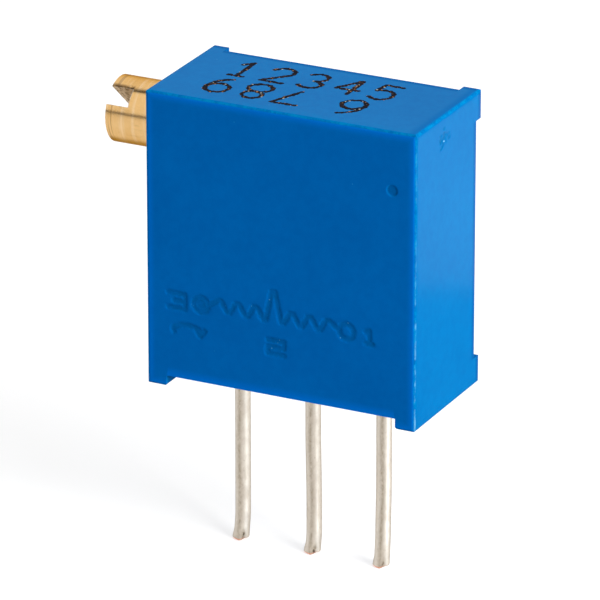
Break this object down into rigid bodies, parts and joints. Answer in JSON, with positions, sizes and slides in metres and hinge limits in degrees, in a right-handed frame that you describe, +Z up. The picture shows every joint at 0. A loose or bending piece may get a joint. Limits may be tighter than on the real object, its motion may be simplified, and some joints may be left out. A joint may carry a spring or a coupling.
{
  "type": "trimmer potentiometer",
  "caption": "Square sealed trimmer potentiometer with a slotted side-adjust brass screw, a worm-driven wiper inside and in-line round pins below.",
  "frame": {"origin": "on the axis of the middle pin, in the board's surface, where the foot rails stand", "axes": "+Z up along the pins towards the body, +X along the screw away from its head, +Y from the front face to the back"},
  "size_m": [0.0111, 0.0048, 0.016],
  "materials": {
    "housing_plastic": "moulded blue polyester, fine matt grain with lightly polished edges",
    "potting_epoxy": "cast blue epoxy, satin with a soft meniscus",
    "screw_brass": "turned brass with fine tool marks",
    "seal_rubber": "black silicone rubber",
    "pin_steel": "drawn stainless wire",
    "wheel_plastic": "natural moulded nylon",
    "spring_alloy": "stamped spring alloy",
    "ceramic": "fired white alumina",
    "resistive_film": "fired thick-film resistor ink",
    "conductor_film": "fired silver-palladium film",
    "tinned_wire": "hot-tinned copper wire, drawn marks along its length",
    "solder": "reflowed solder"
  },
  "bodies": {
    "root": {"housing": "housing_plastic", "back_potting": "potting_epoxy", "screw_retaining_pin": "pin_steel", "ceramic_plate": "ceramic", "resistive_track": "resistive_film", "collector_track": "conductor_film", "end_pad_1": "conductor_film", "end_pad_3": "conductor_film", "terminal_pin_1": "tinned_wire", "terminal_pin_2": "tinned_wire", "terminal_pin_3": "tinned_wire", "solder_joint_1": "solder", "solder_joint_2": "solder", "solder_joint_3": "solder"},
    "screw": {"adjusting_screw": "screw_brass", "shaft_seal_ring": "seal_rubber"},
    "wheel": {"worm_wheel": "wheel_plastic", "wiper_spring": "spring_alloy"}
  },
  "joints": [
    {"name": "screw_turn", "type": "hinge", "parent": "root", "child": "screw", "pos_m": [0, -0.00114, 0.00876], "axis": [1, 0, 0], "range_deg": [-4500, 4500]},
    {"name": "wheel_turn", "type": "hinge", "parent": "root", "child": "wheel", "pos_m": [0, -0.00114, 0.00486], "axis": [0, 1, 0], "range_deg": [-136.4, 136.4]}
  ],
  "couplings": [
    {"joint": "wheel_turn", "follows": "screw_turn", "ratio": -0.030303}
  ]
}
